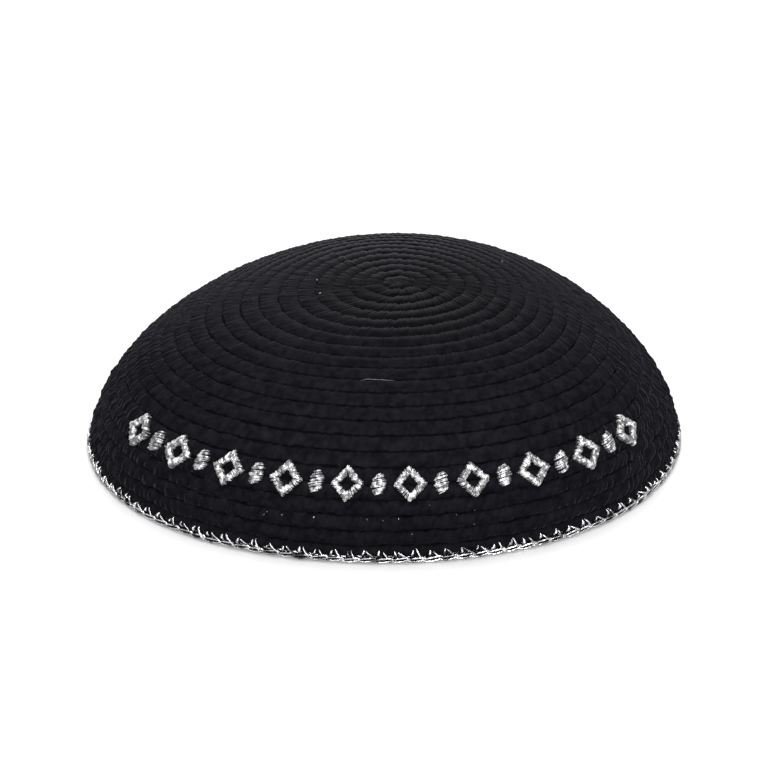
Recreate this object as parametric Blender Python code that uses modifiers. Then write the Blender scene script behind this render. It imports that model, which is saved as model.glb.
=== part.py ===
"""A crocheted kippah skullcap with a silver stitched edging and an embroidered band on its front.

Metres, +Z up, the front towards -Y. The cap stands on its edging, and the origin is on the table
at its middle.
"""

import math
from collections import namedtuple

import bmesh
import bpy
import numpy as np

# The dome, measured over the crests of its ribs
RIM_RADIUS = 0.080
CAP_HEIGHT = 0.044
WALL = 0.0020

# The crochet: one round after another from the pole, and a shorter one at the rim
ROUNDS = 23
RIM_ROUND = 0.0034
RIB_HEIGHT = 0.0006

# The chain-stitched edging under the last round
EDGE_HEIGHT = 0.0017
EDGE_WIDTH = 0.0024
EDGE_PROUD = 0.0003
EDGE_WAIST = 0.0004
EDGE_CHAMFER = 0.0004
EDGE_STITCH = 0.0043

# The embroidered band on the front, between the rim and the crown
BAND_SPAN = math.radians(114)
BAND_CENTRE = math.radians(-92)
BAND_RISE = 0.0229
LOZENGES = 10
LOZENGE_WIDTH = 0.0086
LOZENGE_HEIGHT = 0.0098
SATIN_WIDTH = 0.0016
SEED_WIDTH = 0.0030
SEED_HEIGHT = 0.0056
SATIN_HEIGHT = 0.0009
SATIN_ROUNDING = 0.0002

# The gap that separate pieces keep
CLEARANCE = 0.0003

# How finely the round forms are faceted
CROWN_STEPS = 44
CURVE_SAMPLES = 400

# The slope of the dome below level, at shares of its length from the pole to the rim
Slope = namedtuple("Slope", "share degrees")
SLOPES = (
    Slope(share=0.0, degrees=0),
    Slope(share=0.2, degrees=2),
    Slope(share=0.4, degrees=15),
    Slope(share=0.6, degrees=28),
    Slope(share=0.8, degrees=60),
    Slope(share=1.0, degrees=90),
)

# The dents that soft crochet takes. A row is a level section, at a share of the turn from pole to rim.
# lean_x and lean_y move it, and the lobes widen or flatten it, all as shares of the rim's radius.
Section = namedtuple("Section", "share lean_x lean_y oval side_lobes front_lobes")
SECTIONS = (
    Section(share=0.00, lean_x=0.055, lean_y=-0.012, oval=0.000, side_lobes=0.000, front_lobes=0.000),
    Section(share=0.30, lean_x=0.050, lean_y=-0.037, oval=0.010, side_lobes=0.020, front_lobes=-0.025),
    Section(share=0.55, lean_x=0.020, lean_y=-0.057, oval=0.008, side_lobes=-0.010, front_lobes=-0.040),
    Section(share=0.80, lean_x=0.012, lean_y=-0.062, oval=-0.010, side_lobes=-0.010, front_lobes=-0.035),
    Section(share=1.00, lean_x=0.005, lean_y=-0.012, oval=0.015, side_lobes=-0.005, front_lobes=-0.015),
)

# One rib across its round: a narrow groove and a flat crest
RibPoint = namedtuple("RibPoint", "share height")
RIB = (
    RibPoint(share=0.0, height=0),
    RibPoint(share=0.22, height=1),
    RibPoint(share=0.78, height=1),
)

COLLECTION = "kippah_skullcap"


def clear_scene():
    for obj in list(bpy.data.objects):
        bpy.data.objects.remove(obj)


def make_collection():
    collection = bpy.data.collections.new(COLLECTION)
    bpy.context.scene.collection.children.link(collection)
    return collection


def make_material(name, colour, roughness, metallic):
    material = bpy.data.materials.new(name)
    material.use_nodes = True
    shader = material.node_tree.nodes["Principled BSDF"]
    shader.inputs["Base Color"].default_value = (*colour, 1)
    shader.inputs["Roughness"].default_value = roughness
    shader.inputs["Metallic"].default_value = metallic
    return material


# The dome's form

def dome_curve():
    """Lengths from the pole, radii and heights of the undented dome, at even shares of its length."""
    shares = np.linspace(0, 1, CURVE_SAMPLES + 1)
    slopes = np.radians(np.interp(shares, [s.share for s in SLOPES], [s.degrees for s in SLOPES]))
    middles = (slopes[1:] + slopes[:-1]) / 2
    radii = np.concatenate([[0], np.cumsum(np.cos(middles))])
    drops = np.concatenate([[0], np.cumsum(np.sin(middles))])
    radii *= RIM_RADIUS / radii[-1]
    heights = CAP_HEIGHT * (1 - drops / drops[-1])
    lengths = np.concatenate([[0], np.cumsum(np.hypot(np.diff(radii), np.diff(heights)))])
    return lengths, radii, heights


LENGTHS, RADII, HEIGHTS = dome_curve()
DOME_LENGTH = LENGTHS[-1]
CROWN_LENGTH = DOME_LENGTH - EDGE_HEIGHT - CLEARANCE
ROUND_PITCH = (CROWN_LENGTH - RIM_ROUND) / (ROUNDS - 1)


def dome_point(length, lift):
    """Radius and height at a length from the pole, lifted out of the dome's surface."""
    radius = np.interp(length, LENGTHS, RADII)
    height = np.interp(length, LENGTHS, HEIGHTS)
    along_radius = np.interp(length, LENGTHS, np.gradient(RADII, LENGTHS))
    along_height = np.interp(length, LENGTHS, np.gradient(HEIGHTS, LENGTHS))
    size = math.hypot(along_radius, along_height)
    return radius - along_height / size * lift, height + along_radius / size * lift


def read_section(share, column):
    """A column of the sections, read on a smooth curve through its rows."""
    shares = np.array([section.share for section in SECTIONS])
    values = np.array([getattr(section, column) for section in SECTIONS])
    tangents = np.gradient(values, shares)
    row = int(np.clip(np.searchsorted(shares, share, side="right") - 1, 0, len(shares) - 2))
    step = shares[row + 1] - shares[row]
    t = (share - shares[row]) / step
    start = (2 * t**3 - 3 * t**2 + 1) * values[row] + (t**3 - 2 * t**2 + t) * step * tangents[row]
    end = (3 * t**2 - 2 * t**3) * values[row + 1] + (t**3 - t**2) * step * tangents[row + 1]
    return start + end


def dented(radius, height, azimuth):
    """Where a point of the round dome goes when the dents are worked in."""
    share = math.atan2(radius, max(height, 0)) / (math.pi / 2)
    stretch = (
        1
        + read_section(share, "oval") * math.cos(2 * azimuth)
        + read_section(share, "side_lobes") * math.cos(3 * azimuth)
        + read_section(share, "front_lobes") * math.sin(3 * azimuth)
    )
    x = radius * stretch * math.cos(azimuth) + read_section(share, "lean_x") * RIM_RADIUS
    y = radius * stretch * math.sin(azimuth) + read_section(share, "lean_y") * RIM_RADIUS
    return x, y, height


def dent_mesh(mesh):
    for vertex in mesh.vertices:
        x, y, z = vertex.co
        vertex.co = dented(math.hypot(x, y), z, math.atan2(y, x))


def lay_on_dome(mesh, azimuth, length):
    """Bends a flat shape onto the crests: x runs along the round, y to the pole and z out of the dome."""
    radius, _ = dome_point(length, 0)
    for vertex in mesh.vertices:
        x, y, z = vertex.co
        vertex.co = dented(*dome_point(length - y, z), azimuth + x / radius)


# Blender objects

def turned(name, points, steps, closed):
    """The mesh of a profile of (radius, height) points turned round Z. It runs down its outer side."""
    mesh = bpy.data.meshes.new(name + "_profile")
    edges = [(i, i + 1) for i in range(len(points) - 1)]
    if closed:
        edges.append((len(points) - 1, 0))
    mesh.from_pydata([(radius, 0, height) for radius, height in points], edges, [])
    profile = bpy.data.objects.new(name + "_profile", mesh)
    bpy.context.scene.collection.objects.link(profile)
    screw = profile.modifiers.new("Turn", "SCREW")
    screw.steps = steps
    screw.render_steps = steps
    screw.use_merge_vertices = True
    screw.merge_threshold = 0.00001
    return finished_mesh(profile)


def flat_outline(name, outlines):
    """The mesh of a flat satin-stitched shape with rounded edges. A second outline is its hole."""
    curve = bpy.data.curves.new(name + "_outline", "CURVE")
    curve.dimensions = "2D"
    curve.fill_mode = "BOTH"
    curve.extrude = SATIN_HEIGHT / 2 - SATIN_ROUNDING
    curve.bevel_depth = SATIN_ROUNDING
    curve.bevel_resolution = 0
    curve.offset = -SATIN_ROUNDING
    for points in outlines:
        spline = curve.splines.new("POLY")
        spline.points.add(len(points) - 1)
        for target, (x, y) in zip(spline.points, points):
            target.co = (x, y, 0, 1)
        spline.use_cyclic_u = True
    outline = bpy.data.objects.new(name + "_outline", curve)
    outline.location.z = SATIN_HEIGHT / 2 + CLEARANCE
    bpy.context.scene.collection.objects.link(outline)
    return finished_mesh(outline)


def finished_mesh(source):
    """The source object as one welded mesh in world space. The source is removed."""
    bpy.context.view_layer.update()
    evaluated = source.evaluated_get(bpy.context.evaluated_depsgraph_get())
    mesh = bpy.data.meshes.new_from_object(evaluated)
    mesh.transform(source.matrix_world)
    bpy.data.objects.remove(source)
    solid = bmesh.new()
    solid.from_mesh(mesh)
    bmesh.ops.remove_doubles(solid, verts=solid.verts, dist=0.00001)
    bmesh.ops.recalc_face_normals(solid, faces=solid.faces)
    solid.to_mesh(mesh)
    solid.free()
    return mesh


def add_piece(collection, name, mesh, material, sharp_degrees):
    mesh.materials.clear()
    mesh.materials.append(material)
    mesh.shade_smooth()
    mesh.set_sharp_from_angle(angle=math.radians(sharp_degrees))
    piece = bpy.data.objects.new(name, mesh)
    collection.objects.link(piece)
    return piece


# The pieces

def crown_profile():
    """Ribs down the outside, the lower edge, and the inside back up to the pole."""
    starts = [i * ROUND_PITCH for i in range(ROUNDS)]
    ends = starts[1:] + [CROWN_LENGTH]
    points = []
    for start, end in zip(starts, ends):
        for rib in RIB:
            length = start + rib.share * (end - start)
            points.append(dome_point(length, (rib.height - 1) * RIB_HEIGHT))
    points.append(dome_point(CROWN_LENGTH, -RIB_HEIGHT))
    points.append(dome_point(CROWN_LENGTH, -WALL))
    for start in reversed(starts):
        points.append(dome_point(start, -WALL))
    return points


def make_crown(collection, material):
    mesh = turned("crown", crown_profile(), CROWN_STEPS, closed=False)
    dent_mesh(mesh)
    add_piece(collection, "crown", mesh, material, sharp_degrees=80)


def make_edge_trim(collection, material):
    """A flat-bottomed ring with a belly and a waist for each chain stitch."""
    stitches = round(2 * math.pi * RIM_RADIUS / EDGE_STITCH)
    outer = RIM_RADIUS + EDGE_PROUD
    inner = outer - EDGE_WIDTH
    section = (
        (inner, EDGE_HEIGHT),
        (outer - EDGE_CHAMFER, EDGE_HEIGHT),
        (outer, EDGE_HEIGHT / 2),
        (outer - EDGE_CHAMFER, 0),
        (inner, 0),
    )
    mesh = turned("edge_trim", section, 2 * stitches, closed=True)
    for vertex in mesh.vertices:
        x, y, _ = vertex.co
        station = round(math.atan2(y, x) / math.pi * stitches)
        if station % 2 and math.hypot(x, y) > inner + EDGE_WIDTH / 2:
            vertex.co.xy *= 1 - EDGE_WAIST / outer
    dent_mesh(mesh)
    add_piece(collection, "edge_trim", mesh, material, sharp_degrees=80)


def lozenge(width, height):
    return [(width / 2, 0), (0, height / 2), (-width / 2, 0), (0, -height / 2)]


def make_band(collection, material):
    """Open lozenges with a seed between each two, spaced evenly across the front."""
    length = DOME_LENGTH - BAND_RISE
    bar = SATIN_WIDTH / math.sin(math.atan2(LOZENGE_HEIGHT, LOZENGE_WIDTH))
    hole = 1 - 2 * bar / LOZENGE_WIDTH
    open_lozenge = (
        lozenge(LOZENGE_WIDTH, LOZENGE_HEIGHT),
        lozenge(LOZENGE_WIDTH * hole, LOZENGE_HEIGHT * hole),
    )
    seed = (lozenge(SEED_WIDTH, SEED_HEIGHT),)
    places = 2 * LOZENGES - 1
    for place in range(places):
        azimuth = BAND_CENTRE + BAND_SPAN * (place / (places - 1) - 0.5)
        number = place // 2 + 1
        if place % 2:
            name, outlines = f"motif_seed_{number:02d}", seed
        else:
            name, outlines = f"motif_lozenge_{number:02d}", open_lozenge
        mesh = flat_outline(name, outlines)
        lay_on_dome(mesh, azimuth, length)
        add_piece(collection, name, mesh, material, sharp_degrees=30)


def main():
    clear_scene()
    collection = make_collection()
    yarn = make_material("black_cotton", colour=(0.012, 0.011, 0.015), roughness=0.9, metallic=0)
    silver = make_material("silver_thread", colour=(0.72, 0.72, 0.75), roughness=0.35, metallic=0.9)
    make_crown(collection, yarn)
    make_edge_trim(collection, silver)
    make_band(collection, silver)


main()
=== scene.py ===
"""The looks of a crocheted kippah skullcap, laid out as a Blender add-on and run as a script.

Every stitch is a strand that is modelled flat, repeated along a strip and laid on the dome. In a flat
strip x runs along the round, y towards the pole and z out of the dome, in metres.
"""

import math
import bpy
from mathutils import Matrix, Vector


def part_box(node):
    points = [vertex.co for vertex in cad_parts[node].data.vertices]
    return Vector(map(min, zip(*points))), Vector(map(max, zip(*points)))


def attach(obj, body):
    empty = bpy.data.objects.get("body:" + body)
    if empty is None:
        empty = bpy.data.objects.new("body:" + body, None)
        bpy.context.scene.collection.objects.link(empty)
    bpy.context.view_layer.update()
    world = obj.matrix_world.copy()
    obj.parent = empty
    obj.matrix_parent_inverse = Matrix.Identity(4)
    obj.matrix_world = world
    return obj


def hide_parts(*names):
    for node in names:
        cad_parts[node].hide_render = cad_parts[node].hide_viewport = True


bl_info = {
    "name": "Crocheted skullcap",
    "version": (1, 0, 0),
    "blender": (4, 5, 0),
    "location": "View3D > Sidebar > Skullcap",
    "description": "Crochets a black skullcap with a silver edging and an embroidered band",
    "category": "Add Mesh",
}

from collections import namedtuple

import bmesh
import bpy
import numpy as np
from mathutils import Matrix, Vector

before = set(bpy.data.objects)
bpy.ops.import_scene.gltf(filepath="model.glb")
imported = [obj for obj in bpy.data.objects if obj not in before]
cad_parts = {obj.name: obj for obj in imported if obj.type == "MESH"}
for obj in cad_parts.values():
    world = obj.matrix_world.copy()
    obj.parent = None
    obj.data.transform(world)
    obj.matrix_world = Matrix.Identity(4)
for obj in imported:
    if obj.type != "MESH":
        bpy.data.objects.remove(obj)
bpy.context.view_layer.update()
CROWN_LOW, CROWN_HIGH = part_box("crown")
TRIM_LOW, TRIM_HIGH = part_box("edge_trim")
LOZENGE_NODES = sorted(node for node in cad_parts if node.startswith("motif_lozenge"))
SEED_NODES = sorted(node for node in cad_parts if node.startswith("motif_seed"))

BODY = "root"

# Points closer together than this are one, and a point this near to an axis is on it
MERGE_DISTANCE = 0.00001

# The front of the cap, counted round from +X
FRONT = -math.pi / 2

# The slope of the dome below level, at shares of its length from the pole to the rim
Slope = namedtuple("Slope", "share degrees")
SLOPES = (
    Slope(share=0.0, degrees=0),
    Slope(share=0.2, degrees=2),
    Slope(share=0.4, degrees=15),
    Slope(share=0.6, degrees=28),
    Slope(share=0.8, degrees=60),
    Slope(share=1.0, degrees=90),
)

# The dents that soft crochet takes. A row is a level section, at a share of the turn from pole to rim.
Section = namedtuple("Section", "share lean_x lean_y oval side_lobes front_lobes")
SECTIONS = (
    Section(share=0.00, lean_x=0.055, lean_y=-0.012, oval=0.000, side_lobes=0.000, front_lobes=0.000),
    Section(share=0.30, lean_x=0.050, lean_y=-0.037, oval=0.010, side_lobes=0.020, front_lobes=-0.025),
    Section(share=0.55, lean_x=0.020, lean_y=-0.057, oval=0.008, side_lobes=-0.010, front_lobes=-0.040),
    Section(share=0.80, lean_x=0.012, lean_y=-0.062, oval=-0.010, side_lobes=-0.010, front_lobes=-0.035),
    Section(share=1.00, lean_x=0.005, lean_y=-0.012, oval=0.015, side_lobes=-0.005, front_lobes=-0.015),
)
CURVE_SAMPLES = 400

# One leg of a stitch: where it stands in its stitch, as a share of the width, and how far it leans
Leg = namedtuple("Leg", "place degrees")
LEGS = (Leg(place=0.29, degrees=12), Leg(place=0.71, degrees=24))

# A leg is wider along its round than it is thick. Its shoulders, where y and z differ by less than a
# share of the radius, stand out by these factors. The middle of its yarn turns back this many yarn
# radii before the groove, and its ends grow thinner by the rounding, or thicker where it is below 0
LEG_FLATNESS = 2.5
LEG_SHOULDER = (1, 1.06, 1.22)
SHOULDER_REACH = 0.9
LEG_GAP = 1.12
LEG_ROUNDING = -0.15
LEG_STATIONS = 8
LEG_SIDES = 6

# How far round the cap each round starts after the one before, in radians
ROUND_TURN = 2.4
FEWEST_STITCHES = 6

# The rounds grow looser towards the rim: from which share of them to which, and what that does
LOOSE_FROM_TO = (0.45, 0.80)
LOOSE_ROUNDING = 0.80
LOOSE_WIDENING = 0.05
LOOSE_SWAY = 0.00020
LOOSE_LUMPS = 0.00016

# The first rounds are tight and uneven: up to which share of them, and how much wider that makes them
TIGHT_UP_TO = 0.36
TIGHT_WIDENING = 0.16

# Rounds less loose than this are shaded as flat ribs, and the looser ones as round yarn
FLAT_UP_TO = 0.8
FLAT_WEIGHT = 60

# The grooves between the rounds close on the cap's sides and gape at its front and back, by less in
# the tight rounds and, as this share says, in the loose ones
SIDE_WIDENING = 0.07
FRONT_NARROWING = 0.12
LOOSE_CLOSING = 0.4

# How far the copies in a strip stray: their moves in it and out of it in metres, their swelling as a
# share of their size, and their turn in degrees. The loose and tight rows are added to the stitch's
Strays = namedtuple("Strays", "shift lift swell twist")
STITCH_STRAYS = Strays(shift=0.00010, lift=0.00006, swell=0.05, twist=4)
LOOSE_STRAYS = Strays(shift=0.00008, lift=0.00016, swell=0.07, twist=9)
TIGHT_STRAYS = Strays(shift=0.00014, lift=0, swell=0, twist=9)
WRAP_STRAYS = Strays(shift=0.0001, lift=0.00005, swell=0, twist=4)
LINK_STRAYS = Strays(shift=0.00015, lift=0.0001, swell=0.06, twist=5)
BITE_STRAYS = Strays(shift=0.00035, lift=0.00008, swell=0.28, twist=24)
SATIN_STRAYS = Strays(shift=0.00014, lift=0.00013, swell=0.10, twist=6)

# The waves of the loose rounds: how many go round the cap, how many radians they drift in each metre
# down it, and their share of the whole. The lumps read them this many metres on, to differ from the sway
Wave = namedtuple("Wave", "count drift size")
WAVES = (
    Wave(count=19, drift=260, size=0.4),
    Wave(count=37, drift=-420, size=0.35),
    Wave(count=61, drift=330, size=0.25),
)
LUMP_OFFSET = 1

# A knot of a smooth strand: its place, the handles before and after it, and its share of the radius
Knot = namedtuple("Knot", "point before after girth")

# One link of the edging's chain. along and up are shares of the chain stitch and of the link's half
# height, lift is in metres, and the link's half height is a share of the chain's
LinkKnot = namedtuple("LinkKnot", "along up lift handle_along handle_up girth")
LINK = (
    LinkKnot(along=-0.24, up=-0.2, lift=-0.00042, handle_along=0, handle_up=-0.12, girth=0.9),
    LinkKnot(along=0.36, up=-1, lift=0.00005, handle_along=0.22, handle_up=0.1, girth=1.8),
    LinkKnot(along=1.08, up=0.2, lift=0.00017, handle_along=0, handle_up=0.5, girth=1.1),
    LinkKnot(along=0.76, up=1, lift=0.00005, handle_along=-0.22, handle_up=-0.1, girth=2.0),
)
LINK_HALF = 0.68
LINK_DEGREES = 5
CHAIN_HEIGHT = 0.0023
CHAIN_RISE = 0.0001

# The wraps of yarn round the rim, under the chain. They reach down to the floor, where their black stands
# in as painted shade under the chain
WRAPS_PER_STITCH = 4
WRAP_RADIUS = 0.00032
WRAP_DEGREES = 40

# A strand that bites into the last round. foot, bend and apex are shares of the chain stitch, the
# rises are metres above the floor, and the lift is metres out of the dome
Strand = namedtuple(
    "Strand", "foot foot_rise foot_lift foot_girth bend bend_rise bend_girth apex apex_rise"
)
BITE = (
    Strand(
        foot=0.24,
        foot_rise=0.0022,
        foot_lift=-0.0002,
        foot_girth=0.9,
        bend=0.25,
        bend_rise=0.0032,
        bend_girth=1.75,
        apex=0.27,
        apex_rise=0.0039,
    ),
    Strand(
        foot=0.92,
        foot_rise=0.0016,
        foot_lift=0.0003,
        foot_girth=0.8,
        bend=0.62,
        bend_rise=0.0031,
        bend_girth=1.05,
        apex=0.44,
        apex_rise=0.0039,
    ),
)

# What both of these strands have: how far the bend stands out and the apex sinks in, how long the
# handles are, as a share of the way to the apex and in metres at the apex, and how thin they end
BEND_LIFT = 0.00028
APEX_LIFT = -0.0008
BITE_HANDLE = 0.25
APEX_BEFORE = 0.0006
APEX_AFTER = 0.0003
APEX_GIRTH = 0.6

# The satin threads: how many radii apart they lie, how far they slant, in threads on a lozenge and
# in radii on a seed, and how they lie in the crochet
SATIN_SPACING = 2.05
SATIN_SKEW = 1.4
SATIN_DEPTH = 0.0004
SATIN_RISE = 0.0008

# The handles of an arch of thread: how far along it and how far up it they reach
ARCH_ALONG = 0.4
ARCH_UP = 0.9

# The yarn inside the wall, and the ring that the crochet starts from
CORE_WALL = 0.0005
CORE_STEPS_ROUND = 120
CORE_STEPS_DOWN = 60
START_RING_RADIUS = 0.0010
START_RING_STEPS = 24
START_RING_SIDES = 10

# Bits of silver that the embroidery left in the crochet, by their place right of the front's middle
# and up the dome from the floor
Speck = namedtuple("Speck", "degrees rise")
SPECKS = (
    Speck(degrees=-24.1, rise=0.0122),
    Speck(degrees=-23.6, rise=0.0131),
    Speck(degrees=-20.6, rise=0.0128),
    Speck(degrees=-14.3, rise=0.0131),
    Speck(degrees=-4.0, rise=0.0133),
    Speck(degrees=-1.0, rise=0.0130),
    Speck(degrees=2.0, rise=0.0135),
    Speck(degrees=4.5, rise=0.0090),
    Speck(degrees=8.0, rise=0.0170),
    Speck(degrees=13.0, rise=0.0138),
    Speck(degrees=16.5, rise=0.0145),
    Speck(degrees=16.3, rise=0.0105),
    Speck(degrees=125.5, rise=0.0625),
    Speck(degrees=-102.0, rise=0.0800),
    Speck(degrees=-77.0, rise=0.0815),
)

# One such bit: how far it reaches either way, how it lies in the yarn, and how thick it is
SPECK_SEED = 5
SPECK_REACH = 0.00016
SPECK_DEPTH = 0.0002
SPECK_RISE = 0.00025
SPECK_RADIUS = 0.00010

# A bare grey strand that lies in a groove above the band, placed as the bits are
BareKnot = namedtuple("BareKnot", "degrees rise lift girth")
BARE_STRAND = (
    BareKnot(degrees=-9.4, rise=0.0535, lift=-0.0004, girth=0.5),
    BareKnot(degrees=-7.0, rise=0.0536, lift=0.0001, girth=1),
    BareKnot(degrees=-3.0, rise=0.0535, lift=0.0001, girth=1),
    BareKnot(degrees=2.0, rise=0.0537, lift=-0.0004, girth=0.5),
)
BARE_HANDLE = 0.0012
BARE_RADIUS = 0.00008

# The yarn inside the wall, painted darker than the yarn as shade between the stitches, and the bare
# strand, each where it is darker and where it is lighter
CORE_SHADE_BLACKS = ((0.0012, 0.0011, 0.0015), (0.0030, 0.0028, 0.0036))
BARE_GREYS = ((0.030, 0.030, 0.032), (0.075, 0.076, 0.080))

# Painted shade: the yarn's colour is darkened round this place at the top, down to a share of its colour
CROWN_SHADE_CENTRE = (0.007, -0.010, 0.043)
CROWN_SHADE_RADIUS = 0.046
CROWN_SHADE_SHARE = 0.42

# The studio. The camera stands round its subject, by angles in degrees, and looks at its aim
FLOOR_SIZE = 8.0
WORLD_STRENGTH = 0.30
CAMERA_LENS = 137.6
CAMERA_SUBJECT = Vector((0, 0, 0.020))
CAMERA_AIM = Vector((0.0002, 0, 0.0126))
CAMERA_DISTANCE = 0.8066
CAMERA_AZIMUTH = -90
CAMERA_ELEVATION = 25.42
CAMERA_ROLL = -0.89

Lamp = namedtuple("Lamp", "name azimuth elevation distance size watts")
LAMPS = (
    Lamp(name="overhead softbox", azimuth=0, elevation=89, distance=1.4, size=0.9, watts=25),
    Lamp(name="front softbox", azimuth=-88, elevation=26, distance=1.4, size=0.9, watts=31),
    Lamp(name="back softbox", azimuth=88, elevation=18, distance=1.4, size=0.8, watts=31),
)


class SkullcapSizes(bpy.types.PropertyGroup):
    """The sizes of the cap, its stitches and its threads."""

    rim_radius: bpy.props.FloatProperty(
        name="Rim radius",
        description="Radius of the dome at its rim, before the dents",
        default=0.080,
        subtype="DISTANCE",
        unit="LENGTH",
    )
    cap_height: bpy.props.FloatProperty(
        name="Height",
        description="Height of the cap as it stands on its edging",
        default=CROWN_HIGH.z,
        subtype="DISTANCE",
        unit="LENGTH",
    )
    edge_height: bpy.props.FloatProperty(
        name="Edging height",
        description="Height of the chain-stitched edging under the last round",
        default=TRIM_HIGH.z,
        subtype="DISTANCE",
        unit="LENGTH",
    )
    rounds: bpy.props.IntProperty(
        name="Rounds",
        description="Rounds of crochet from the pole to the rim",
        default=23,
    )
    rim_round: bpy.props.FloatProperty(
        name="Rim round",
        description="Width of the last round, which is shorter than the others",
        default=0.0034,
        subtype="DISTANCE",
        unit="LENGTH",
    )
    wall: bpy.props.FloatProperty(
        name="Wall",
        description="Thickness of the crochet over its ribs",
        default=0.0020,
        subtype="DISTANCE",
        unit="LENGTH",
    )
    stitch_width: bpy.props.FloatProperty(
        name="Stitch width",
        description="Width of one stitch along its round",
        default=0.0022,
        subtype="DISTANCE",
        unit="LENGTH",
    )
    yarn_radius: bpy.props.FloatProperty(
        name="Yarn radius",
        description="Radius of the cotton yarn",
        default=0.00050,
        subtype="DISTANCE",
        unit="LENGTH",
    )
    thread_radius: bpy.props.FloatProperty(
        name="Silver thread radius",
        description="Radius of the silver thread of the edging",
        default=0.00021,
        subtype="DISTANCE",
        unit="LENGTH",
    )
    edge_stitch: bpy.props.FloatProperty(
        name="Edging stitch",
        description="Length of one chain stitch along the rim",
        default=0.0043,
        subtype="DISTANCE",
        unit="LENGTH",
    )
    satin_radius: bpy.props.FloatProperty(
        name="Satin thread radius",
        description="Radius of the silver thread of the embroidery",
        default=0.00023,
        subtype="DISTANCE",
        unit="LENGTH",
    )
    satin_width: bpy.props.FloatProperty(
        name="Satin bar",
        description="Width of the satin-stitched bars of a lozenge",
        default=0.0015,
        subtype="DISTANCE",
        unit="LENGTH",
    )
    lozenge_width: bpy.props.FloatProperty(
        name="Lozenge width",
        description="Width of an open lozenge of the band",
        default=0.0086,
        subtype="DISTANCE",
        unit="LENGTH",
    )
    lozenge_height: bpy.props.FloatProperty(
        name="Lozenge height",
        description="Height of an open lozenge of the band",
        default=0.0098,
        subtype="DISTANCE",
        unit="LENGTH",
    )
    seed_width: bpy.props.FloatProperty(
        name="Seed width",
        description="Width of a seed between two lozenges",
        default=0.0030,
        subtype="DISTANCE",
        unit="LENGTH",
    )
    seed_height: bpy.props.FloatProperty(
        name="Seed height",
        description="Height of a seed between two lozenges",
        default=0.0056,
        subtype="DISTANCE",
        unit="LENGTH",
    )
    band_rise: bpy.props.FloatProperty(
        name="Band rise",
        description="Length up the dome from the rim to the middle of the band",
        default=0.0229,
        subtype="DISTANCE",
        unit="LENGTH",
    )
    band_span: bpy.props.FloatProperty(
        name="Band span",
        description="How far round the cap the band goes",
        default=math.radians(114),
        subtype="ANGLE",
        unit="ROTATION",
    )
    band_centre: bpy.props.FloatProperty(
        name="Band centre",
        description="Where the band's middle stands round the cap",
        default=math.radians(-92),
        subtype="ANGLE",
        unit="ROTATION",
    )


class SkullcapColours(bpy.types.PropertyGroup):
    """The colours of the yarn, the threads and the studio."""

    yarn: bpy.props.FloatVectorProperty(
        name="Yarn",
        description="The black of the cotton",
        default=(0.0031, 0.0029, 0.0038),
        subtype="COLOR",
    )
    # Paler patches of the yarn: partly its own uneven tone, partly painted highlight for its fuzz
    # catching the light
    yarn_paler_and_highlight: bpy.props.FloatVectorProperty(
        name="Yarn, paler",
        description="The paler black of the cotton, partly painted fuzz highlight",
        default=(0.0072, 0.0067, 0.0086),
        subtype="COLOR",
    )
    silver: bpy.props.FloatVectorProperty(
        name="Silver",
        description="The bright foil of the silver thread",
        default=(0.76, 0.76, 0.78),
        subtype="COLOR",
    )
    # Painted dark reflection and shade: the colour of the dark patches on the silver thread
    silver_painted_shade: bpy.props.FloatVectorProperty(
        name="Silver, dark",
        description="The silver thread's painted dark reflection and shade",
        default=(0.12, 0.115, 0.115),
        subtype="COLOR",
    )
    floor: bpy.props.FloatVectorProperty(
        name="Floor",
        description="The pale floor of the studio",
        default=(0.50, 0.50, 0.50),
        subtype="COLOR",
    )


def sizes():
    """The sizes that the panel shows."""
    return bpy.context.scene.skullcap_sizes


def colours():
    """The colours that the panel shows."""
    return bpy.context.scene.skullcap_colours


# The dome's form

def dome_curve():
    """Lengths from the pole, radii and heights of the undented dome, at even shares of its length."""
    shares = np.linspace(0, 1, CURVE_SAMPLES + 1)
    slopes = np.radians(np.interp(shares, [s.share for s in SLOPES], [s.degrees for s in SLOPES]))
    middles = (slopes[1:] + slopes[:-1]) / 2
    radii = np.concatenate([[0], np.cumsum(np.cos(middles))])
    drops = np.concatenate([[0], np.cumsum(np.sin(middles))])
    radii *= sizes().rim_radius / radii[-1]
    heights = sizes().cap_height * (1 - drops / drops[-1])
    lengths = np.concatenate([[0], np.cumsum(np.hypot(np.diff(radii), np.diff(heights)))])
    return lengths, radii, heights


def dome_point(length, lift):
    """Radii and heights at lengths from the pole, lifted out of the dome's surface."""
    lengths, radii, heights = dome_curve()
    along_radius = np.interp(length, lengths, np.gradient(radii, lengths))
    along_height = np.interp(length, lengths, np.gradient(heights, lengths))
    size = np.hypot(along_radius, along_height)
    radius = np.interp(length, lengths, radii) - along_height / size * lift
    return radius, np.interp(length, lengths, heights) + along_radius / size * lift


def dome_length():
    return dome_curve()[0][-1]


def read_section(share, column):
    """A column of the sections, read on a smooth curve through its rows."""
    shares = np.array([section.share for section in SECTIONS])
    values = np.array([getattr(section, column) for section in SECTIONS])
    tangents = np.gradient(values, shares)
    row = np.clip(np.searchsorted(shares, share, side="right") - 1, 0, len(shares) - 2)
    step = shares[row + 1] - shares[row]
    t = (share - shares[row]) / step
    start = (2 * t**3 - 3 * t**2 + 1) * values[row] + (t**3 - 2 * t**2 + t) * step * tangents[row]
    end = (3 * t**2 - 2 * t**3) * values[row + 1] + (t**3 - t**2) * step * tangents[row + 1]
    return start + end


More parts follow.
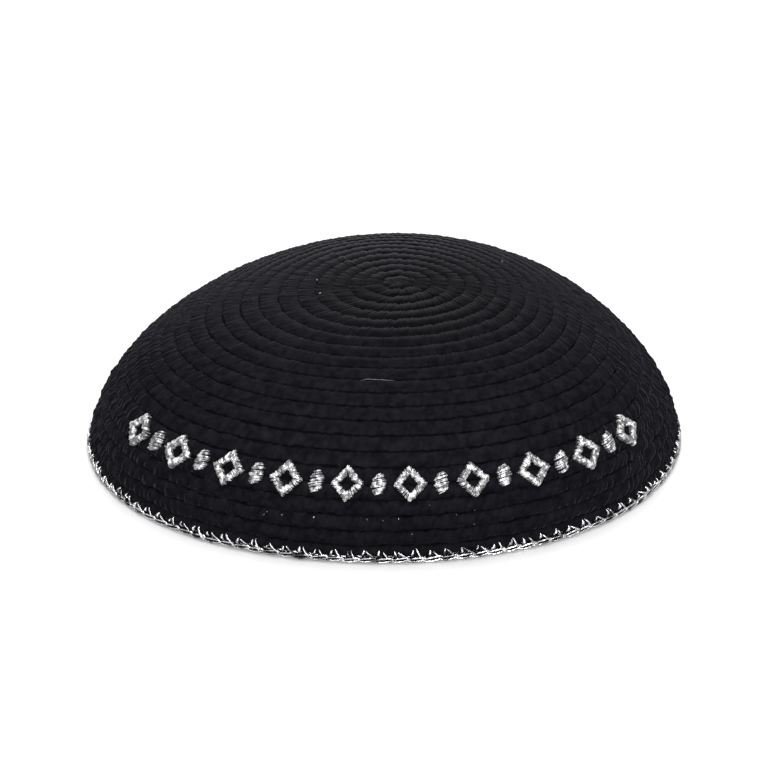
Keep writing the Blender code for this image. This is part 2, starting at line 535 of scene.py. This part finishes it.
def on_dome(length, azimuth, lift):
    """Points at lengths from the pole and azimuths, lifted out of the dented dome, one row each."""
    radius, height = dome_point(length, lift)
    share = np.arctan2(radius, np.maximum(height, 0)) / (math.pi / 2)
    stretch = (
        1
        + read_section(share, "oval") * np.cos(2 * azimuth)
        + read_section(share, "side_lobes") * np.cos(3 * azimuth)
        + read_section(share, "front_lobes") * np.sin(3 * azimuth)
    )
    x = radius * stretch * np.cos(azimuth) + read_section(share, "lean_x") * sizes().rim_radius
    y = radius * stretch * np.sin(azimuth) + read_section(share, "lean_y") * sizes().rim_radius
    return np.stack([x, y, height], axis=1)


def waves(azimuth, length):
    """How far soft crochet strays at these places, from -1 to 1."""
    return sum(wave.size * np.sin(wave.count * azimuth + wave.drift * length) for wave in WAVES)


def read_points(obj):
    points = np.empty(len(obj.data.vertices) * 3, np.float32)
    obj.data.vertices.foreach_get("co", points)
    return points.reshape(-1, 3).astype(float)


def write_points(obj, points):
    obj.data.vertices.foreach_set("co", points.astype(np.float32).ravel())
    obj.data.update()


def lay_on_dome(obj, azimuth, length, turn):
    """Lays a flat strip on the dome. turn is how far round a metre of x goes, in radians."""
    x, y, z = read_points(obj).T
    write_points(obj, on_dome(length - y, azimuth + x * turn, z))


# Modelling by hand

def deselect():
    if bpy.context.mode != "OBJECT":
        bpy.ops.object.mode_set(mode="OBJECT")
    bpy.ops.object.select_all(action="DESELECT")


def make_active(obj):
    deselect()
    obj.select_set(True)
    bpy.context.view_layer.objects.active = obj


def select_vertices(obj, wanted):
    """In edit mode, selects the vertices whose place passes the test."""
    mesh = bmesh.from_edit_mesh(obj.data)
    for vertex in mesh.verts:
        vertex.select_set(bool(wanted(vertex.co)))
    mesh.select_flush_mode()
    bmesh.update_edit_mesh(obj.data)


def join(objects, name):
    make_active(objects[0])
    for obj in objects[1:]:
        obj.select_set(True)
    bpy.ops.object.join()
    joined = bpy.context.object
    joined.name = name
    joined.data.name = name
    return joined


def copy_of(obj, name):
    copy = obj.copy()
    copy.data = obj.data.copy()
    copy.name = name
    copy.data.name = name
    bpy.context.scene.collection.objects.link(copy)
    return copy


def repeat(obj, count, step):
    """Repeats a strip's master along x and makes the copies real."""
    make_active(obj)
    bpy.ops.object.modifier_add(type="ARRAY")
    array = obj.modifiers[-1]
    array.count = count
    array.use_relative_offset = False
    array.use_constant_offset = True
    array.constant_offset_displace = (step, 0, 0)
    bpy.ops.object.modifier_apply(modifier=array.name)


def vary(obj, copies, seed, strays):
    """Moves, swells and turns each copy in a strip by its own small amount."""
    chance = np.random.default_rng(seed)
    points = read_points(obj).reshape(copies, -1, 3)
    centres = points.mean(axis=1, keepdims=True)
    swelling = chance.uniform(-strays.swell, strays.swell, (copies, 1, 1))
    offsets = (points - centres) * (1 + swelling)
    angles = np.radians(chance.uniform(-strays.twist, strays.twist, (copies, 1)))
    x = offsets[:, :, 0] * np.cos(angles) - offsets[:, :, 1] * np.sin(angles)
    y = offsets[:, :, 0] * np.sin(angles) + offsets[:, :, 1] * np.cos(angles)
    moves = chance.uniform(-1, 1, (copies, 1, 3)) * (strays.shift, strays.shift, strays.lift)
    points = centres + moves + np.stack([x, y, offsets[:, :, 2]], axis=2)
    write_points(obj, points.reshape(-1, 3))


def finish_piece(obj, name, material):
    """Names a piece, smooths it, gives it its material and makes it ride on the cap's body."""
    make_active(obj)
    bpy.ops.object.shade_smooth()
    obj.name = name
    obj.data.name = name
    obj.data.materials.clear()
    obj.data.materials.append(material)
    deselect()
    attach(obj, BODY)


def flatten_shading(obj):
    """Gives each corner the normal of its larger faces, so that the flat of a rib looks flat."""
    make_active(obj)
    bpy.ops.object.modifier_add(type="WEIGHTED_NORMAL")
    obj.modifiers[-1].weight = FLAT_WEIGHT
    bpy.ops.object.modifier_apply(modifier=obj.modifiers[-1].name)
    deselect()


def strands(name, paths, radius, resolution, closed):
    """Round strands along smooth curves through knots, as one mesh."""
    curve = bpy.data.curves.new(name, "CURVE")
    curve.dimensions = "3D"
    curve.bevel_depth = radius
    curve.bevel_resolution = 1
    curve.resolution_u = resolution
    for path in paths:
        spline = curve.splines.new("BEZIER")
        spline.bezier_points.add(len(path) - 1)
        spline.use_cyclic_u = closed
        for place, knot in zip(spline.bezier_points, path):
            place.co = knot.point
            place.handle_left = knot.before
            place.handle_right = knot.after
            place.radius = knot.girth
    obj = bpy.data.objects.new(name, curve)
    bpy.context.scene.collection.objects.link(obj)
    make_active(obj)
    bpy.ops.object.convert(target="MESH")
    obj = bpy.context.object
    bpy.ops.object.mode_set(mode="EDIT")
    bpy.ops.mesh.select_all(action="SELECT")
    bpy.ops.mesh.fill_holes(sides=0)
    bpy.ops.mesh.normals_make_consistent(inside=False)
    bpy.ops.object.mode_set(mode="OBJECT")
    return obj


# Materials

def new_material(name):
    """A new material with its nodes and its shader, or the one of this name that is there already."""
    material = bpy.data.materials.get(name)
    if material:
        return material, None, None
    material = bpy.data.materials.new(name)
    material.use_nodes = True
    tree = material.node_tree
    return material, tree, tree.nodes["Principled BSDF"]


def twist_bump(tree, shader, turns, plies, strength, distance):
    """The twist of the plies, as a bump of diagonal waves on the strand's own UV map."""
    place = tree.nodes.new("ShaderNodeUVMap")
    scale = tree.nodes.new("ShaderNodeMapping")
    scale.inputs["Scale"].default_value = (turns, plies, 1)
    wave = tree.nodes.new("ShaderNodeTexWave")
    wave.wave_type = "BANDS"
    wave.bands_direction = "DIAGONAL"
    wave.inputs["Scale"].default_value = 0.5
    wave.inputs["Distortion"].default_value = 0.6
    wave.inputs["Detail"].default_value = 1.0
    bump = tree.nodes.new("ShaderNodeBump")
    bump.inputs["Strength"].default_value = strength
    bump.inputs["Distance"].default_value = distance
    tree.links.new(place.outputs["UV"], scale.inputs["Vector"])
    tree.links.new(scale.outputs["Vector"], wave.inputs["Vector"])
    tree.links.new(wave.outputs["Fac"], bump.inputs["Height"])
    tree.links.new(bump.outputs["Normal"], shader.inputs["Normal"])


def patchy_colour(tree, shader, first, second, scale, low, high):
    """Two colours that change into each other in soft patches, on Object coordinates."""
    place = tree.nodes.new("ShaderNodeTexCoord")
    noise = tree.nodes.new("ShaderNodeTexNoise")
    noise.inputs["Scale"].default_value = scale
    noise.inputs["Detail"].default_value = 4.0
    ramp = tree.nodes.new("ShaderNodeValToRGB")
    ramp.color_ramp.elements[0].position = low
    ramp.color_ramp.elements[1].position = high
    ramp.color_ramp.elements[0].color = (*first, 1)
    ramp.color_ramp.elements[1].color = (*second, 1)
    tree.links.new(place.outputs["Object"], noise.inputs["Vector"])
    tree.links.new(noise.outputs["Fac"], ramp.inputs["Fac"])
    tree.links.new(ramp.outputs["Color"], shader.inputs["Base Color"])


def paint_crown_shade(tree, shader):
    """Darkens a shader's colour round the top of the cap as painted shade, by how near a point is to it.
    """
    colour = shader.inputs["Base Color"].links[0].from_socket
    place = tree.nodes.new("ShaderNodeTexCoord")
    distance = tree.nodes.new("ShaderNodeVectorMath")
    distance.operation = "DISTANCE"
    distance.inputs[1].default_value = CROWN_SHADE_CENTRE
    fade = tree.nodes.new("ShaderNodeMapRange")
    fade.interpolation_type = "SMOOTHSTEP"
    fade.inputs["From Max"].default_value = CROWN_SHADE_RADIUS
    fade.inputs["To Min"].default_value = CROWN_SHADE_SHARE
    scaled = tree.nodes.new("ShaderNodeVectorMath")
    scaled.operation = "SCALE"
    tree.links.new(place.outputs["Object"], distance.inputs[0])
    tree.links.new(distance.outputs["Value"], fade.inputs["Value"])
    tree.links.new(colour, scaled.inputs["Vector"])
    tree.links.new(fade.outputs["Result"], scaled.inputs["Scale"])
    tree.links.new(scaled.outputs["Vector"], shader.inputs["Base Color"])


def yarn_material():
    """Black cotton: a soft twist, hardly any gloss and a fine fuzz that catches the light."""
    material, tree, shader = new_material("Black cotton yarn")
    if tree:
        # The paler patches are partly the yarn's own tone and partly painted fuzz highlight
        blacks = (colours().yarn, colours().yarn_paler_and_highlight)
        patchy_colour(tree, shader, *blacks, scale=420, low=0.35, high=0.75)
        paint_crown_shade(tree, shader)
        twist_bump(tree, shader, turns=22, plies=2, strength=0.10, distance=0.0002)
        shader.inputs["Roughness"].default_value = 0.7
        shader.inputs["Specular IOR Level"].default_value = 0.003
        shader.inputs["Sheen Weight"].default_value = 0.025
        shader.inputs["Sheen Roughness"].default_value = 0.3
        shader.inputs["Sheen Tint"].default_value = (0.75, 0.72, 0.85, 1)
    return material


def core_material():
    """The yarn that lies inside the wall, which only shows between the stitches, painted darker than the
    yarn and without gloss as shade there.
    """
    material, tree, shader = new_material("Black cotton core in painted shade")
    if tree:
        patchy_colour(tree, shader, *CORE_SHADE_BLACKS, scale=400, low=0.3, high=0.7)
        shader.inputs["Roughness"].default_value = 0.9
        shader.inputs["Specular IOR Level"].default_value = 0.0
    return material


def strand_material():
    """The grey of one bare strand, paler where it has frayed."""
    material, tree, shader = new_material("Bare grey strand")
    if tree:
        patchy_colour(tree, shader, *BARE_GREYS, scale=500, low=0.35, high=0.65)
        twist_bump(tree, shader, turns=30, plies=2, strength=0.3, distance=0.0001)
        shader.inputs["Roughness"].default_value = 0.6
    return material


def silver_material(name, metallic, roughness, turns, patches, low, high):
    """Silver metallic thread: bright foil wound round a core, with dark patches painted in that stand for
    dark reflections and shade.
    """
    material, tree, shader = new_material(name)
    if tree:
        patchy_colour(tree, shader, colours().silver_painted_shade, colours().silver, patches, low, high)
        twist_bump(tree, shader, turns, plies=2, strength=0.7, distance=0.0001)
        shader.inputs["Metallic"].default_value = metallic
        shader.inputs["Roughness"].default_value = roughness
    return material


def edging_material():
    """The foil-bright thread of the edging, in long stretches of bright foil and of painted dark
    reflection.
    """
    return silver_material(
        "Silver edging thread", metallic=1.0, roughness=0.27, turns=14, patches=350, low=0.38, high=0.5
    )


def embroidery_material():
    """The duller thread of the embroidery and of the bits that it left."""
    # Its larger dark share is painted shade, for the shaded undersides of the satin threads
    return silver_material(
        "Silver embroidery thread", metallic=0.6, roughness=0.4, turns=8, patches=900, low=0.43, high=0.67
    )


# Flat masters of what repeats

def model_loop(across, radius, reach, degrees, flatness=1, shoulder=(1, 1, 1)):
    """A closed loop of yarn round a wall, long in y and slanted so that its top leans to +x."""
    deselect()
    bpy.ops.mesh.primitive_torus_add(
        major_segments=LEG_STATIONS,
        minor_segments=LEG_SIDES,
        major_radius=across,
        minor_radius=radius,
        rotation=(0, math.pi / 2, 0),
    )
    loop = bpy.context.object
    bpy.ops.object.transform_apply(location=True, rotation=True, scale=True)
    bpy.ops.object.mode_set(mode="EDIT")
    select_vertices(loop, lambda place: abs(abs(place.y) - abs(place.z)) < radius * SHOULDER_REACH)
    bpy.ops.transform.resize(value=shoulder)
    select_vertices(loop, lambda place: place.y > MERGE_DISTANCE)
    bpy.ops.transform.translate(value=(0, reach, 0))
    select_vertices(loop, lambda place: place.y < -MERGE_DISTANCE)
    bpy.ops.transform.translate(value=(0, -reach, 0))
    bpy.ops.object.mode_set(mode="OBJECT")
    loop.data.transform(Matrix.Diagonal((flatness, 1, 1, 1)))
    slant = Matrix.Identity(4)
    slant[0][1] = math.tan(math.radians(degrees))
    loop.data.transform(slant)
    return loop


def model_stitch():
    """Two slanted legs of yarn, each a closed loop round the whole wall."""
    across = sizes().wall / 2 - sizes().yarn_radius
    reach = round_pitch() / 2 - across - sizes().yarn_radius * LEG_GAP
    legs = []
    for leg in LEGS:
        loop = model_loop(across, sizes().yarn_radius, reach, leg.degrees, LEG_FLATNESS, LEG_SHOULDER)
        loop.data.transform(Matrix.Translation((leg.place * sizes().stitch_width, 0, -sizes().wall / 2)))
        legs.append(loop)
    return join(legs, "stitch_master")


def crown_length():
    """Length of the crochet from the pole to its lower edge, just above the edging."""
    return dome_length() - CROWN_LOW.z


def round_pitch():
    """Width of every round but the last."""
    return (crown_length() - sizes().rim_round) / (sizes().rounds - 1)


def arch(start, end, depth, height):
    """A bezier path that comes up out of the cloth at start, lies over it and goes down at end."""
    start = Vector((*start, -depth))
    end = Vector((*end, -depth))
    over = Vector((0, 0, depth + height))
    middle = (start + end) / 2 + over
    half = (end - start) * ARCH_ALONG
    return [
        Knot(start, start, start + over * ARCH_UP, 1),
        Knot(middle, middle - half, middle + half, 1),
        Knot(end, end + over * ARCH_UP, end, 1),
    ]


def model_lozenge():
    """The satin threads of one open lozenge, laid across each of its four bars, and how many they are."""
    half_width = sizes().lozenge_width / 2
    half_height = sizes().lozenge_height / 2
    bar = sizes().satin_width / math.sin(math.atan2(half_height, half_width))
    hole = 1 - bar / half_width
    corners = [
        Vector((half_width, 0)),
        Vector((0, half_height)),
        Vector((-half_width, 0)),
        Vector((0, -half_height)),
    ]
    paths = []
    for corner, following in zip(corners, corners[1:] + corners[:1]):
        threads = round((following - corner).length / (sizes().satin_radius * SATIN_SPACING))
        for thread in range(threads):
            outer = corner.lerp(following, (thread + 0.5) / threads)
            inner = corner.lerp(following, (thread + 0.5 + SATIN_SKEW) / threads) * hole
            paths.append(arch(outer, inner, SATIN_DEPTH, SATIN_RISE))
    lozenge = strands("lozenge_master", paths, sizes().satin_radius, resolution=3, closed=False)
    return lozenge, len(paths)


def model_seed():
    """The satin threads of one seed, laid nearly level across it, and how many they are."""
    half_width = sizes().seed_width / 2
    half_height = sizes().seed_height / 2
    threads = round(sizes().seed_height / (sizes().satin_radius * SATIN_SPACING))
    paths = []
    for thread in range(threads):
        share = (thread + 0.5) / threads * 2 - 1
        reach = half_width * math.sqrt(1 - share**2) + sizes().satin_radius
        y = share * half_height
        skew = sizes().satin_radius * SATIN_SKEW
        paths.append(arch((-reach, y - skew), (reach, y + skew), SATIN_DEPTH, SATIN_RISE))
    seed = strands("seed_master", paths, sizes().satin_radius, resolution=3, closed=False)
    return seed, len(paths)


def model_chain_link():
    """One teardrop link of the edging, for a chain that runs to +x."""
    pitch = sizes().edge_stitch
    half = CHAIN_HEIGHT / 2 * LINK_HALF
    path = []
    for knot in LINK:
        point = Vector((knot.along * pitch, knot.up * half, knot.lift))
        handle = Vector((knot.handle_along * pitch, knot.handle_up * half, 0))
        path.append(Knot(point, point - handle, point + handle, knot.girth))
    link = strands("link_master", [path], sizes().thread_radius, resolution=4, closed=True)
    link.data.transform(Matrix.Rotation(math.radians(LINK_DEGREES), 4, "Z"))
    return link


def model_wrap():
    """One wrap of yarn round the rim, as high as the edging before it is slanted."""
    across = sizes().wall / 2 - WRAP_RADIUS
    middle = sizes().edge_height / 2
    wrap = model_loop(across, WRAP_RADIUS, reach=0, degrees=0)
    wrap.data.transform(Matrix.Diagonal((1, middle / (across + WRAP_RADIUS), 1, 1)))
    wrap.data.transform(Matrix.Rotation(math.radians(WRAP_DEGREES), 4, "Z"))
    wrap.data.transform(Matrix.Translation((0, middle, -sizes().wall / 2)))
    return wrap


def model_bite():
    """The two strands that bite up into the last round above each chain stitch."""
    pitch = sizes().edge_stitch
    paths = []
    for strand in BITE:
        foot = Vector((strand.foot * pitch, strand.foot_rise, strand.foot_lift))
        bend = Vector((strand.bend * pitch, strand.bend_rise, BEND_LIFT))
        apex = Vector((strand.apex * pitch, strand.apex_rise, APEX_LIFT))
        along = (apex - foot) * BITE_HANDLE
        along.z = 0
        before = apex + Vector((0, 0, APEX_BEFORE))
        after = apex - Vector((0, 0, APEX_AFTER))
        path = [
            Knot(foot, foot - along, foot + along, strand.foot_girth),
            Knot(bend, bend - along, bend + along, strand.bend_girth),
            Knot(apex, before, after, APEX_GIRTH),
        ]
        paths.append(path)
    return strands("bite_master", paths, sizes().thread_radius, resolution=3, closed=False)


# Pieces of the cap

class SKULLCAP_OT_core(bpy.types.Operator):
    """Model the thin wall of yarn inside the crochet"""

    bl_idname = "skullcap.core"
    bl_label = "Inside of the wall"

    def execute(self, context):
        deselect()
        bpy.ops.mesh.primitive_grid_add(
            x_subdivisions=CORE_STEPS_ROUND, y_subdivisions=CORE_STEPS_DOWN, size=1
        )
        core = bpy.context.object
        points = read_points(core)
        end = crown_length() - sizes().yarn_radius
        points[:, 0] += 0.5
        points[:, 1] = -(0.5 - points[:, 1]) * end
        points[:, 2] = -sizes().wall / 2 + CORE_WALL / 2
        write_points(core, points)
        lay_on_dome(core, 0, 0, 2 * math.pi)
        bpy.ops.object.mode_set(mode="EDIT")
        bpy.ops.mesh.select_all(action="SELECT")
        bpy.ops.mesh.remove_doubles(threshold=MERGE_DISTANCE)
        bpy.ops.mesh.normals_make_consistent(inside=False)
        bpy.ops.object.mode_set(mode="OBJECT")
        bpy.ops.object.modifier_add(type="SOLIDIFY")
        core.modifiers[-1].thickness = CORE_WALL
        core.modifiers[-1].offset = -1
        bpy.ops.object.modifier_apply(modifier=core.modifiers[-1].name)
        finish_piece(core, "crown_core", core_material())
        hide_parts("crown")
        return {"FINISHED"}


class SKULLCAP_OT_rounds(bpy.types.Operator):
    """Crochet the rounds of the cap, from the pole to the rim"""

    bl_idname = "skullcap.rounds"
    bl_label = "Crocheted rounds"

    def execute(self, context):
        master = model_stitch()
        for number in range(sizes().rounds):
            crochet_round(master, number)
        bpy.data.objects.remove(master)
        return {"FINISHED"}


def crochet_round(master, number):
    """Repeats a stitch round the cap, as the round of this number, counted from 0 at the pole."""
    last = number == sizes().rounds - 1
    height = sizes().rim_round if last else round_pitch()
    length = number * round_pitch() + height / 2
    radius = float(dome_point(length, 0)[0])
    stitches = max(FEWEST_STITCHES, round(2 * math.pi * radius / sizes().stitch_width))
    turn = 2 * math.pi / (stitches * sizes().stitch_width)
    share = number / sizes().rounds
    loose = float(np.interp(share, LOOSE_FROM_TO, (0, 1)))
    tight = max(0, 1 - share / TIGHT_UP_TO)
    rows = zip(STITCH_STRAYS, LOOSE_STRAYS, TIGHT_STRAYS)
    strays = Strays(*(even + looser * loose + tighter * tight for even, looser, tighter in rows))

    piece = copy_of(master, f"crochet_round_{number + 1:02d}")
    repeat(piece, stitches, sizes().stitch_width)
    # In a loose round each leg strays on its own
    copies = stitches * len(LEGS) if loose else stitches
    vary(piece, copies, seed=number, strays=strays)
    points = read_points(piece)
    azimuth = number * ROUND_TURN + points[:, 0] * turn
    thicken_legs(points, azimuth, length, loose)
    widen_legs(points, azimuth, height, loose, tight)
    points[:, 1] += LOOSE_SWAY * loose * waves(azimuth, length)
    write_points(piece, points)
    lay_on_dome(piece, number * ROUND_TURN, length, turn)
    finish_piece(piece, piece.name, yarn_material())
    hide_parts("crown")
    if loose < FLAT_UP_TO:
        flatten_shading(piece)


def thicken_legs(points, azimuth, length, loose):
    """Gives the legs of a flat round their thickness from end to end, and a loose round its lumps."""
    middle = -sizes().wall / 2
    fall = LEG_ROUNDING + LOOSE_ROUNDING * loose
    rounding = 1 - fall * (points[:, 1] / (round_pitch() / 2)) ** 2
    points[:, 2] = middle + (points[:, 2] - middle) * rounding
    points[:, 2] += LOOSE_LUMPS * loose * waves(azimuth, length + LUMP_OFFSET)


def widen_legs(points, azimuth, height, loose, tight):
    """Stretches the legs of a flat round to its height, and further or less far into the grooves."""
    widening = 1 + LOOSE_WIDENING * loose + TIGHT_WIDENING * tight
    widening += SIDE_WIDENING * np.cos(azimuth) ** 2
    widening -= FRONT_NARROWING * (1 - tight - LOOSE_CLOSING * loose) * np.sin(azimuth) ** 2
    points[:, 1] *= height / round_pitch() * widening


class SKULLCAP_OT_start_ring(bpy.types.Operator):
    """Model the ring of yarn that the first round is worked into"""

    bl_idname = "skullcap.start_ring"
    bl_label = "Starting ring"

    def execute(self, context):
        deselect()
        bpy.ops.mesh.primitive_torus_add(
            major_segments=START_RING_STEPS,
            minor_segments=START_RING_SIDES,
            major_radius=START_RING_RADIUS,
            minor_radius=sizes().yarn_radius,
        )
        ring = bpy.context.object
        x, y, z = read_points(ring).T
        write_points(ring, on_dome(np.hypot(x, y), np.arctan2(y, x), z - sizes().yarn_radius))
        finish_piece(ring, "start_ring", yarn_material())
        return {"FINISHED"}


class SKULLCAP_OT_edging(bpy.types.Operator):
    """Work the silver edging: its wraps round the rim, its chains and its bites into the crochet"""

    bl_idname = "skullcap.edging"
    bl_label = "Silver edging"

    def execute(self, context):
        stitches = edge_stitches()
        middle = sizes().edge_height / 2

        wraps = model_wrap()
        count = stitches * WRAPS_PER_STITCH
        repeat(wraps, count, sizes().edge_stitch / WRAPS_PER_STITCH)
        vary(wraps, count, seed=1, strays=WRAP_STRAYS)
        lay_on_rim(wraps)
        finish_piece(wraps, "edge_wraps", yarn_material())
        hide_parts("edge_trim")

        for chain in on_both_sides(model_chain_link(), "edge_chain", "X", middle):
            vary(chain, stitches, seed=2, strays=LINK_STRAYS)
            keep_above_floor(chain)
            lay_on_rim(chain)
            finish_piece(chain, chain.name, edging_material())
            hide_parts("edge_trim")

        for bites in on_both_sides(model_bite(), "edge_bites", "Y", 0):
            vary(bites, stitches * len(BITE), seed=3, strays=BITE_STRAYS)
            lay_on_rim(bites)
            finish_piece(bites, bites.name, edging_material())
            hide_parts("edge_trim")
        return {"FINISHED"}


def edge_stitches():
    """How many chain stitches go round the rim."""
    return round(2 * math.pi * sizes().rim_radius / sizes().edge_stitch)


def on_both_sides(master, name, axis, rise):
    """Strips of a master for the outside of the rim and, turned over an axis, for its inside."""
    strips = []
    for side, flip, lift in (("outside", 0, 0), ("inside", math.pi, -sizes().wall)):
        strip = copy_of(master, f"{name}_{side}")
        strip.data.transform(Matrix.Rotation(flip, 4, axis))
        strip.data.transform(Matrix.Translation((0, rise, lift)))
        repeat(strip, edge_stitches(), sizes().edge_stitch)
        strips.append(strip)
    bpy.data.objects.remove(master)
    return strips


def lay_on_rim(obj):
    """Lays a flat strip of the edging on the dome, from its rim up."""
    lay_on_dome(obj, 0, dome_length(), 2 * math.pi / (edge_stitches() * sizes().edge_stitch))


def keep_above_floor(obj):
    """Fits a flat strip of the chain to its height, with its lowest thread just above the floor."""
    points = read_points(obj)
    low = points[:, 1].min()
    high = points[:, 1].max()
    points[:, 1] = CHAIN_RISE + (points[:, 1] - low) * CHAIN_HEIGHT / (high - low)
    write_points(obj, points)


class SKULLCAP_OT_band(bpy.types.Operator):
    """Embroider the band of lozenges and seeds across the front"""

    bl_idname = "skullcap.band"
    bl_label = "Embroidered band"

    def execute(self, context):
        length = dome_length() - sizes().band_rise
        turn = 1 / float(dome_point(length, 0)[0])
        places = len(LOZENGE_NODES) + len(SEED_NODES)
        lozenge, lozenge_threads = model_lozenge()
        seed, seed_threads = model_seed()
        for place in range(places):
            if place % 2:
                master, threads, node = seed, seed_threads, SEED_NODES[place // 2]
            else:
                master, threads, node = lozenge, lozenge_threads, LOZENGE_NODES[place // 2]
            piece = copy_of(master, node.replace("motif", "satin"))
            vary(piece, threads, seed=place, strays=SATIN_STRAYS)
            azimuth = sizes().band_centre + sizes().band_span * (place / (places - 1) - 0.5)
            lay_on_dome(piece, azimuth, length, turn)
            finish_piece(piece, piece.name, embroidery_material())
            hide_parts(node)
        bpy.data.objects.remove(lozenge)
        bpy.data.objects.remove(seed)
        return {"FINISHED"}


class SKULLCAP_OT_specks(bpy.types.Operator):
    """Leave a few stray bits of silver thread in the crochet"""

    bl_idname = "skullcap.specks"
    bl_label = "Stray silver bits"

    def execute(self, context):
        chance = np.random.default_rng(SPECK_SEED)
        paths = []
        for speck in SPECKS:
            x = math.radians(speck.degrees) * sizes().rim_radius
            half = Vector(chance.uniform(-SPECK_REACH, SPECK_REACH, 2))
            centre = Vector((x, speck.rise))
            paths.append(arch(centre - half, centre + half, SPECK_DEPTH, SPECK_RISE))
        bits = strands("stray_bits", paths, SPECK_RADIUS, resolution=2, closed=False)
        lay_on_front(bits)
        finish_piece(bits, "stray_bits", embroidery_material())
        return {"FINISHED"}


class SKULLCAP_OT_bare_strand(bpy.types.Operator):
    """Lay one bare grey strand in a groove above the band"""

    bl_idname = "skullcap.bare_strand"
    bl_label = "Bare strand"

    def execute(self, context):
        path = []
        handle = Vector((BARE_HANDLE, 0, 0))
        for knot in BARE_STRAND:
            x = math.radians(knot.degrees) * sizes().rim_radius
            point = Vector((x, knot.rise, knot.lift))
            path.append(Knot(point, point - handle, point + handle, knot.girth))
        strand = strands("bare_strand", [path], BARE_RADIUS, resolution=8, closed=False)
        lay_on_front(strand)
        finish_piece(strand, "bare_strand", strand_material())
        return {"FINISHED"}


def lay_on_front(obj):
    """Lays flat strands on the dome, with x counted from the front's middle and y from the floor."""
    lay_on_dome(obj, FRONT, dome_length(), 1 / sizes().rim_radius)


# The stage

class SKULLCAP_OT_stage(bpy.types.Operator):
    """Set the pale floor, the soft lights and the camera"""

    bl_idname = "skullcap.stage"
    bl_label = "Studio"

    def execute(self, context):
        deselect()
        bpy.ops.mesh.primitive_plane_add(size=FLOOR_SIZE)
        floor = bpy.context.object
        floor.name = "floor"
        material, tree, shader = new_material("Pale floor")
        if tree:
            shader.inputs["Base Color"].default_value = (*colours().floor, 1)
            shader.inputs["Roughness"].default_value = 0.9
            shader.inputs["Specular IOR Level"].default_value = 0.1
        floor.data.materials.append(material)

        for lamp in LAMPS:
            light = bpy.data.lights.new(lamp.name, "AREA")
            light.shape = "DISK"
            light.size = lamp.size
            light.energy = lamp.watts
            obj = bpy.data.objects.new(lamp.name, light)
            place = direction(lamp.azimuth, lamp.elevation) * lamp.distance
            obj.matrix_world = look_at(place, Vector((0, 0, 0)))
            context.scene.collection.objects.link(obj)

        world = context.scene.world or bpy.data.worlds.new("Studio")
        context.scene.world = world
        world.use_nodes = True
        background = world.node_tree.nodes["Background"]
        background.inputs["Color"].default_value = (1, 1, 1, 1)
        background.inputs["Strength"].default_value = WORLD_STRENGTH
        context.scene.view_settings.view_transform = "Standard"

        camera = bpy.data.cameras.new("camera")
        camera.lens = CAMERA_LENS
        obj = bpy.data.objects.new("camera", camera)
        place = CAMERA_SUBJECT + direction(CAMERA_AZIMUTH, CAMERA_ELEVATION) * CAMERA_DISTANCE
        roll = Matrix.Rotation(math.radians(CAMERA_ROLL), 4, "Z")
        obj.matrix_world = look_at(place, CAMERA_AIM) @ roll
        context.scene.collection.objects.link(obj)
        context.scene.camera = obj
        return {"FINISHED"}


def direction(azimuth, elevation):
    """The unit vector at these degrees round and above the floor."""
    a = math.radians(azimuth)
    e = math.radians(elevation)
    return Vector((math.cos(e) * math.cos(a), math.cos(e) * math.sin(a), math.sin(e)))


def look_at(place, aim):
    turned = (aim - place).to_track_quat("-Z", "Y")
    return Matrix.LocRotScale(place, turned, None)


class SKULLCAP_PT_panel(bpy.types.Panel):
    """The cap's sizes, colours and pieces"""

    bl_label = "Skullcap"
    bl_idname = "SKULLCAP_PT_panel"
    bl_space_type = "VIEW_3D"
    bl_region_type = "UI"
    bl_category = "Skullcap"

    def draw(self, context):
        column = self.layout.column()
        for group in (sizes(), colours()):
            for name in group.__annotations__:
                column.prop(group, name)
        for operator in OPERATORS:
            column.operator(operator.bl_idname)


OPERATORS = (
    SKULLCAP_OT_core,
    SKULLCAP_OT_rounds,
    SKULLCAP_OT_start_ring,
    SKULLCAP_OT_edging,
    SKULLCAP_OT_band,
    SKULLCAP_OT_specks,
    SKULLCAP_OT_bare_strand,
    SKULLCAP_OT_stage,
)
CLASSES = (SkullcapSizes, SkullcapColours, *OPERATORS, SKULLCAP_PT_panel)


def register():
    for cls in CLASSES:
        bpy.utils.register_class(cls)
    bpy.types.Scene.skullcap_sizes = bpy.props.PointerProperty(type=SkullcapSizes)
    bpy.types.Scene.skullcap_colours = bpy.props.PointerProperty(type=SkullcapColours)


def unregister():
    del bpy.types.Scene.skullcap_colours
    del bpy.types.Scene.skullcap_sizes
    for cls in reversed(CLASSES):
        bpy.utils.unregister_class(cls)


def main():
    register()
    bpy.ops.skullcap.core()
    bpy.ops.skullcap.rounds()
    bpy.ops.skullcap.start_ring()
    bpy.ops.skullcap.edging()
    bpy.ops.skullcap.band()
    bpy.ops.skullcap.specks()
    bpy.ops.skullcap.bare_strand()
    bpy.ops.skullcap.stage()


if __name__ == "__main__":
    main()
